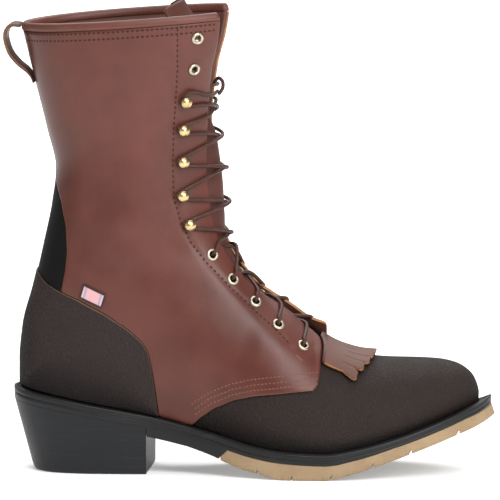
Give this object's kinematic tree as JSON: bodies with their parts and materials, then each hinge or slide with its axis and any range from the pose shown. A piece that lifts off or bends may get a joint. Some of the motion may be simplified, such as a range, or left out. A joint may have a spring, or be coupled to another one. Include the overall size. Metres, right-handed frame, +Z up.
{
  "type": "packer boot",
  "caption": "Tall lace-up work boot for the right foot with a fringed false tongue, hooks and eyelets, heel counter, pull loop, welted rubber forefoot and a block heel.",
  "frame": {"origin": "on the floor under the middle of the boot's bounding box", "axes": "+X to the toe, +Z up, -Y to the outer (lateral) side"},
  "size_m": [0.3115, 0.106, 0.2998],
  "materials": {
    "smooth_leather": "satin",
    "pebbled_leather": "satin",
    "dark_leather": "satin",
    "edge_leather": "satin",
    "tan_rubber": "matte",
    "black_rubber": "satin",
    "lining": "matte",
    "cord": "matte",
    "brass": "polished",
    "old_nickel": "satin",
    "tab_cloth": "matte"
  },
  "bodies": {
    "root": {"outsole": "tan_rubber", "midsole": "black_rubber", "welt": "black_rubber", "heel": "black_rubber", "insole": "lining", "upper": "pebbled_leather", "quarter_lateral": "smooth_leather", "quarter_medial": "smooth_leather", "counter": "pebbled_leather", "backstay": "dark_leather", "tongue": "smooth_leather", "kiltie": "smooth_leather", "collar_binding": "edge_leather", "pull_loop": "smooth_leather", "side_tab": "tab_cloth", "lace": "cord", "eyelet_lateral_1": "old_nickel", "eyelet_lateral_2": "old_nickel", "eyelet_lateral_3": "old_nickel", "eyelet_lateral_4": "old_nickel", "eyelet_lateral_5": "old_nickel", "eyelet_lateral_6": "old_nickel", "eyelet_lateral_7": "old_nickel", "eyelet_medial_1": "old_nickel", "eyelet_medial_2": "old_nickel", "eyelet_medial_3": "old_nickel", "eyelet_medial_4": "old_nickel", "eyelet_medial_5": "old_nickel", "eyelet_medial_6": "old_nickel", "eyelet_medial_7": "old_nickel", "hook_lateral_1": "brass", "hook_lateral_2": "brass", "hook_lateral_3": "brass", "hook_lateral_4": "brass", "hook_lateral_5": "brass", "hook_medial_1": "brass", "hook_medial_2": "brass", "hook_medial_3": "brass", "hook_medial_4": "brass", "hook_medial_5": "brass"}
  },
  "joints": []
}
